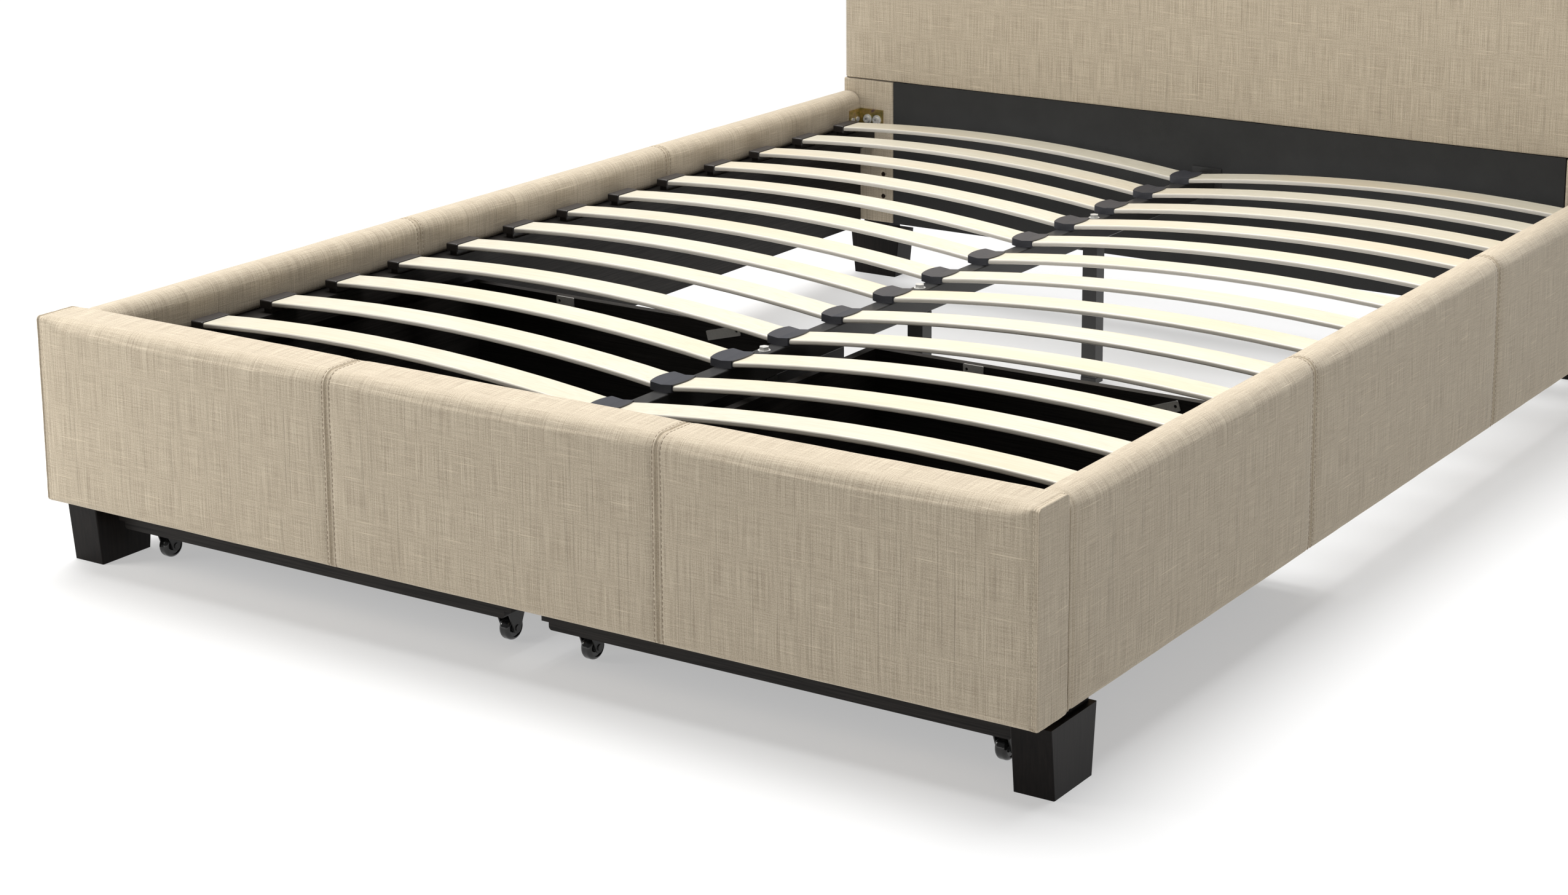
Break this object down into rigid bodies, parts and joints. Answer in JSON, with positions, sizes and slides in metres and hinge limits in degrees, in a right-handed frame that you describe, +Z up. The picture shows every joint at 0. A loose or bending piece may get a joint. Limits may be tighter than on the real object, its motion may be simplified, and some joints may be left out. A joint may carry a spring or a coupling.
{
  "type": "upholstered bed with roll-out drawers",
  "caption": "Upholstered platform bed with bowed slats on a centre beam and a footboard that rolls out on casters with two open storage boxes.",
  "frame": {"origin": "on the floor, under the middle of the bed", "axes": "+Y from the footboard to the headboard, +X to the right seen from the foot, +Z up"},
  "size_m": [1.65, 2.2, 1.2],
  "materials": {
    "linen": "woven linen-look upholstery fabric",
    "frame_timber": "raw softwood and ply, hidden",
    "black_board": "black foil-faced board with a fine grain",
    "black_cloth": "matt black lining cloth",
    "espresso_wood": "dark satin lacquer",
    "birch_slat": "pale laminated birch, satin",
    "cap_plastic": "charcoal moulded plastic",
    "black_steel": "black powder coat",
    "yellow_zinc": "yellow zinc plate",
    "nickel_steel": "bright zinc or nickel plate",
    "wheel_plastic": "black moulded plastic"
  },
  "bodies": {
    "bed_frame": {"beam_hangers": "black_steel", "centre_beam": "black_steel", "centre_posts": "black_steel", "centre_slat_caps": "cap_plastic", "corner_brackets": "yellow_zinc", "foot_cross_rail": "black_board", "frame_bolts": "nickel_steel", "front_left_foot": "espresso_wood", "front_right_foot": "espresso_wood", "headboard_back_cloth": "black_cloth", "headboard_cover": "linen", "headboard_frame": "frame_timber", "headboard_lower_panel": "black_cloth", "left_rail_core": "frame_timber", "left_rail_cover": "linen", "left_rail_liner": "black_board", "left_slat_caps": "cap_plastic", "left_slat_ledge": "black_board", "rear_left_foot": "espresso_wood", "rear_right_foot": "espresso_wood", "right_rail_core": "frame_timber", "right_rail_cover": "linen", "right_rail_liner": "black_board", "right_slat_caps": "cap_plastic", "right_slat_ledge": "black_board", "slat_row_01": "birch_slat", "slat_row_02": "birch_slat", "slat_row_03": "birch_slat", "slat_row_04": "birch_slat", "slat_row_05": "birch_slat", "slat_row_06": "birch_slat", "slat_row_07": "birch_slat", "slat_row_08": "birch_slat", "slat_row_09": "birch_slat", "slat_row_10": "birch_slat", "slat_row_11": "birch_slat", "slat_row_12": "birch_slat", "slat_row_13": "birch_slat"},
    "roll_out_unit": {"footboard_core": "frame_timber", "footboard_cover": "linen", "drawer_stop_tabs": "nickel_steel", "caster_forks": "black_steel", "left_drawer_front": "black_board", "left_drawer_back": "black_board", "left_drawer_inner_side": "black_board", "left_drawer_outer_side": "black_board", "left_drawer_floor": "black_board", "right_drawer_front": "black_board", "right_drawer_back": "black_board", "right_drawer_inner_side": "black_board", "right_drawer_outer_side": "black_board", "right_drawer_floor": "black_board"},
    "left_inner_front_wheel": {"left_inner_front_wheel": "wheel_plastic"},
    "left_inner_rear_wheel": {"left_inner_rear_wheel": "wheel_plastic"},
    "left_outer_front_wheel": {"left_outer_front_wheel": "wheel_plastic"},
    "left_outer_rear_wheel": {"left_outer_rear_wheel": "wheel_plastic"},
    "right_inner_front_wheel": {"right_inner_front_wheel": "wheel_plastic"},
    "right_inner_rear_wheel": {"right_inner_rear_wheel": "wheel_plastic"},
    "right_outer_front_wheel": {"right_outer_front_wheel": "wheel_plastic"},
    "right_outer_rear_wheel": {"right_outer_rear_wheel": "wheel_plastic"}
  },
  "joints": [
    {"name": "roll_out_slide", "type": "slide", "parent": "bed_frame", "child": "roll_out_unit", "axis": [0, -1, 0], "range_m": [0, 0.765]},
    {"name": "left_inner_front_wheel_spin", "type": "hinge", "parent": "roll_out_unit", "child": "left_inner_front_wheel", "pos_m": [-0.07, -0.971, 0.018], "axis": [1, 0, 0], "continuous": true},
    {"name": "left_inner_rear_wheel_spin", "type": "hinge", "parent": "roll_out_unit", "child": "left_inner_rear_wheel", "pos_m": [-0.07, -0.253, 0.018], "axis": [1, 0, 0], "continuous": true},
    {"name": "left_outer_front_wheel_spin", "type": "hinge", "parent": "roll_out_unit", "child": "left_outer_front_wheel", "pos_m": [-0.711, -0.971, 0.018], "axis": [1, 0, 0], "continuous": true},
    {"name": "left_outer_rear_wheel_spin", "type": "hinge", "parent": "roll_out_unit", "child": "left_outer_rear_wheel", "pos_m": [-0.69, -0.253, 0.018], "axis": [1, 0, 0], "continuous": true},
    {"name": "right_inner_front_wheel_spin", "type": "hinge", "parent": "roll_out_unit", "child": "right_inner_front_wheel", "pos_m": [0.07, -0.971, 0.018], "axis": [1, 0, 0], "continuous": true},
    {"name": "right_inner_rear_wheel_spin", "type": "hinge", "parent": "roll_out_unit", "child": "right_inner_rear_wheel", "pos_m": [0.07, -0.253, 0.018], "axis": [1, 0, 0], "continuous": true},
    {"name": "right_outer_front_wheel_spin", "type": "hinge", "parent": "roll_out_unit", "child": "right_outer_front_wheel", "pos_m": [0.711, -0.971, 0.018], "axis": [1, 0, 0], "continuous": true},
    {"name": "right_outer_rear_wheel_spin", "type": "hinge", "parent": "roll_out_unit", "child": "right_outer_rear_wheel", "pos_m": [0.69, -0.253, 0.018], "axis": [1, 0, 0], "continuous": true}
  ],
  "couplings": [
    {"joint": "left_inner_front_wheel_spin", "follows": "roll_out_slide", "rad_per_m": 55.556},
    {"joint": "left_inner_rear_wheel_spin", "follows": "roll_out_slide", "rad_per_m": 55.556},
    {"joint": "left_outer_front_wheel_spin", "follows": "roll_out_slide", "rad_per_m": 55.556},
    {"joint": "left_outer_rear_wheel_spin", "follows": "roll_out_slide", "rad_per_m": 55.556},
    {"joint": "right_inner_front_wheel_spin", "follows": "roll_out_slide", "rad_per_m": 55.556},
    {"joint": "right_inner_rear_wheel_spin", "follows": "roll_out_slide", "rad_per_m": 55.556},
    {"joint": "right_outer_front_wheel_spin", "follows": "roll_out_slide", "rad_per_m": 55.556},
    {"joint": "right_outer_rear_wheel_spin", "follows": "roll_out_slide", "rad_per_m": 55.556}
  ]
}
